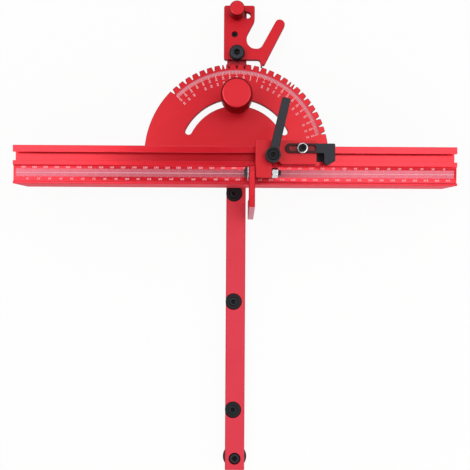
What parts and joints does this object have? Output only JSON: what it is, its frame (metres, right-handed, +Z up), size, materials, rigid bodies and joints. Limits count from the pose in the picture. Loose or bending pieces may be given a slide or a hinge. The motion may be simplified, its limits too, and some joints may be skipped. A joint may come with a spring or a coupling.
{
  "type": "miter gauge",
  "caption": "Table saw miter gauge: guide bar, indexed protractor head with clamp knob and pawl lever, extruded fence with rule, and a sliding flip stop with pointer.",
  "frame": {"origin": "point on the underside of the guide bar, straight below the axis that the head swings on", "axes": "+Y along the bar towards the index lever, +X along the fence towards the pointer side, +Z up from the table"},
  "size_m": [0.4005, 0.4501, 0.0934],
  "materials": {
    "red_anodised": "satin red anodised",
    "black_oxide": "black oxide",
    "black_plastic": "fine matt",
    "zinc": "bright zinc"
  },
  "bodies": {
    "bar": {"miter_bar": "red_anodised", "expansion_disc_1": "black_plastic", "expansion_disc_2": "black_plastic", "expansion_disc_3": "black_plastic", "disc_screw_1": "black_oxide", "disc_screw_2": "black_oxide", "disc_screw_3": "black_oxide", "slot_foot": "black_oxide", "slot_foot_screw": "black_oxide", "pivot_screw": "black_oxide", "index_pivot_screw": "black_oxide"},
    "head": {"protractor_plate": "red_anodised", "fence": "red_anodised", "fence_nut_1": "zinc", "fence_nut_2": "zinc", "fence_screw_1": "black_oxide", "fence_screw_2": "black_oxide"},
    "clamp_knob": {"clamp_knob": "red_anodised", "clamp_washer": "black_plastic", "clamp_stud": "zinc"},
    "index_lever": {"index_lever": "red_anodised", "index_set_screw": "black_oxide"},
    "index_knob": {"index_knob": "red_anodised", "index_stud": "zinc"},
    "carriage": {"stop_carriage": "red_anodised", "track_slider": "black_oxide", "axle_screw": "black_oxide", "axle_washer": "zinc", "axle_nut": "zinc", "pointer_washer": "zinc", "pointer_screw": "black_oxide"},
    "clamp_lever": {"clamp_lever": "black_plastic", "clamp_lever_screw": "black_oxide", "clamp_lever_stud": "zinc"},
    "flip_arm": {"flip_arm": "red_anodised"},
    "pointer": {"scale_pointer": "black_plastic"}
  },
  "joints": [
    {"name": "head_swing", "type": "hinge", "parent": "bar", "child": "head", "pos_m": [0, 0, 0.0128], "axis": [0, 0, 1], "range_deg": [-60, 60]},
    {"name": "clamp_knob_turn", "type": "hinge", "parent": "bar", "child": "clamp_knob", "pos_m": [0, 0.0517, 0.02], "axis": [0, 0, 1], "range_deg": [0, 360]},
    {"name": "index_lever_lift", "type": "hinge", "parent": "bar", "child": "index_lever", "pos_m": [0.0001, 0.0977, 0.0128], "axis": [0, 0, 1], "range_deg": [-5.5, 14]},
    {"name": "index_knob_turn", "type": "hinge", "parent": "bar", "child": "index_knob", "pos_m": [-0.00004, 0.1365, 0.02], "axis": [0, 0, 1], "range_deg": [0, 360]},
    {"name": "stop_slide", "type": "slide", "parent": "head", "child": "carriage", "axis": [1, 0, 0], "range_m": [-0.215, 0.115]},
    {"name": "clamp_lever_turn", "type": "hinge", "parent": "carriage", "child": "clamp_lever", "pos_m": [0.0319, -0.0058, 0.07], "axis": [0, 0, 1], "range_deg": [-75, 27]},
    {"name": "flip_arm_lift", "type": "hinge", "parent": "carriage", "child": "flip_arm", "pos_m": [0.014, -0.0202, 0.063], "axis": [-1, 0, 0], "range_deg": [0, 170]},
    {"name": "pointer_slide", "type": "slide", "parent": "carriage", "child": "pointer", "axis": [1, 0, 0], "range_m": [-0.004, 0.008]}
  ]
}
